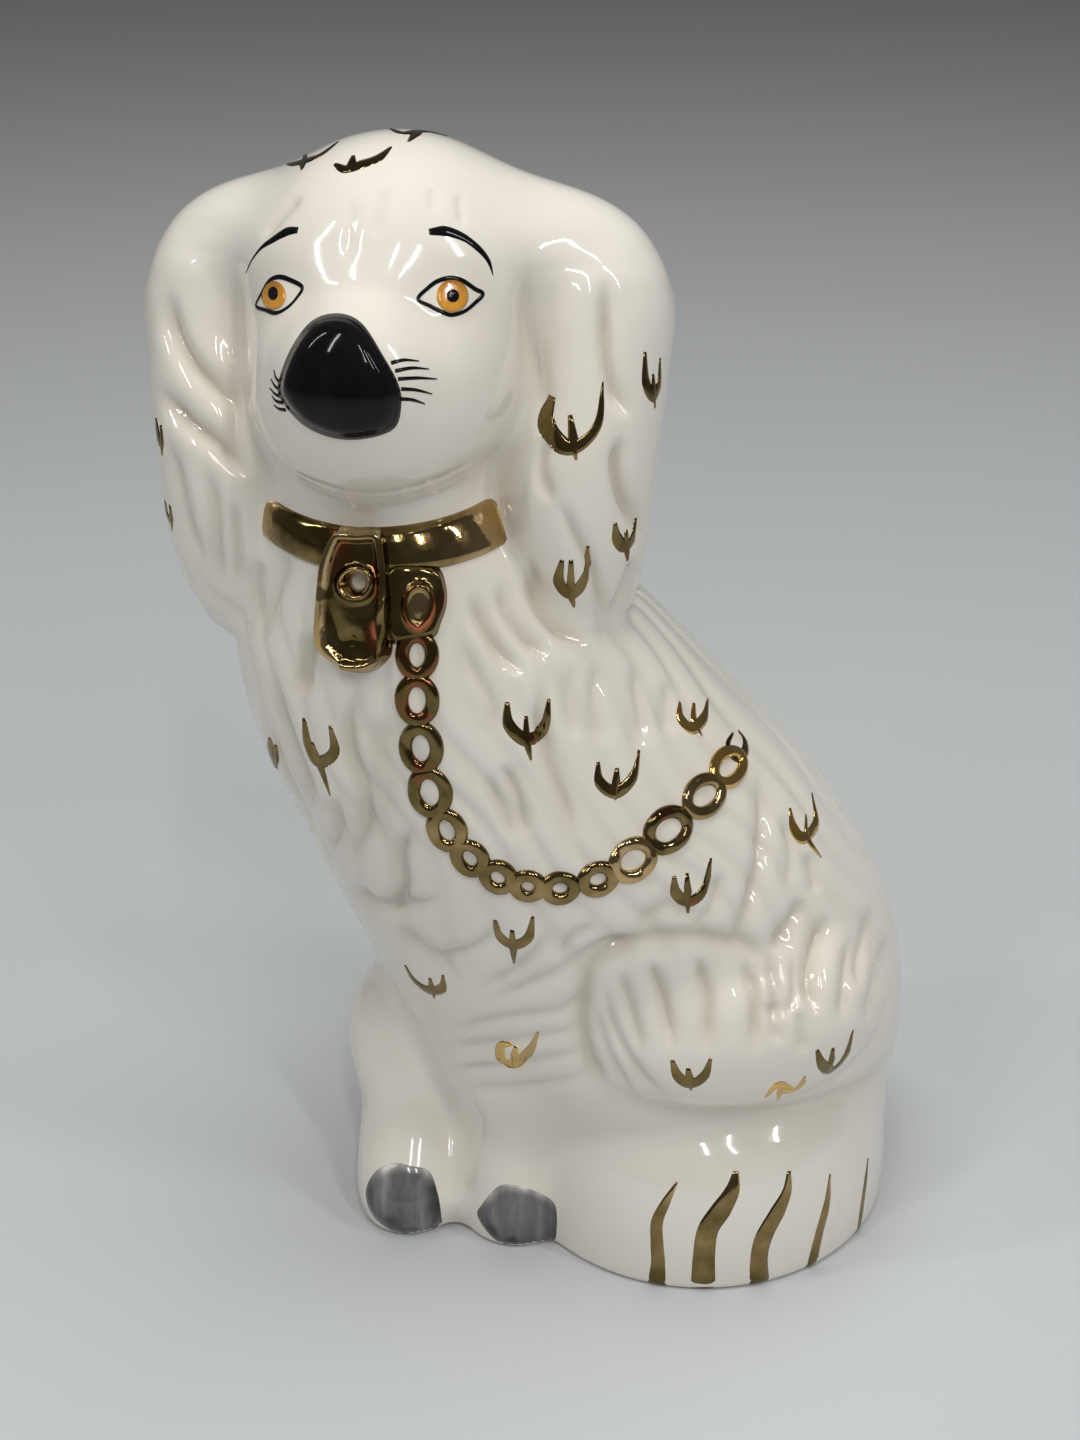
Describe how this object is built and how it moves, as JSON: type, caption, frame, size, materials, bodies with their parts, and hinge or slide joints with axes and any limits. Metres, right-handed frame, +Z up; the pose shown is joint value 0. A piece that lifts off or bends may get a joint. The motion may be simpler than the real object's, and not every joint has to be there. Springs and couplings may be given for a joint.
{
  "type": "dog figurine",
  "caption": "Seated spaniel mantel ornament in white glazed earthenware, with hanging ears, gilt collar, padlock, moulded chain and gilt sprays, standing on a flat base.",
  "frame": {"origin": "on the ground plane under the base, on the base slab", "axes": "+Z up, the dog looks along -Y, its left side is +X"},
  "size_m": [0.1304, 0.1021, 0.2021],
  "materials": {
    "white_glaze": "clear gloss glaze over white earthenware",
    "bare_clay": "wiped biscuit, matt",
    "gilding": "bright liquid gold over glaze",
    "black_enamel": "glossy black enamel",
    "amber_enamel": "glossy amber enamel",
    "grey_wash": "brushed grey-black wash under glaze"
  },
  "bodies": {
    "root": {"trunk_front": "white_glaze", "trunk_back": "white_glaze", "head_face": "white_glaze", "head_back": "white_glaze", "ear_left": "white_glaze", "ear_right": "white_glaze", "foreleg_left": "white_glaze", "foreleg_right": "white_glaze", "tail": "white_glaze", "base_slab": "bare_clay", "collar": "gilding", "padlock": "gilding", "chain_hasp": "gilding", "chain_links": "gilding", "gilt_sprays_body": "gilding", "gilt_sprays_ears": "gilding", "gilt_sprays_crown": "gilding", "gilt_tail_bands": "gilding", "eye_outlines": "black_enamel", "irises": "amber_enamel", "pupils": "black_enamel", "brows": "black_enamel", "nose_enamel": "black_enamel", "whiskers": "black_enamel", "paw_washes": "grey_wash"}
  },
  "joints": []
}
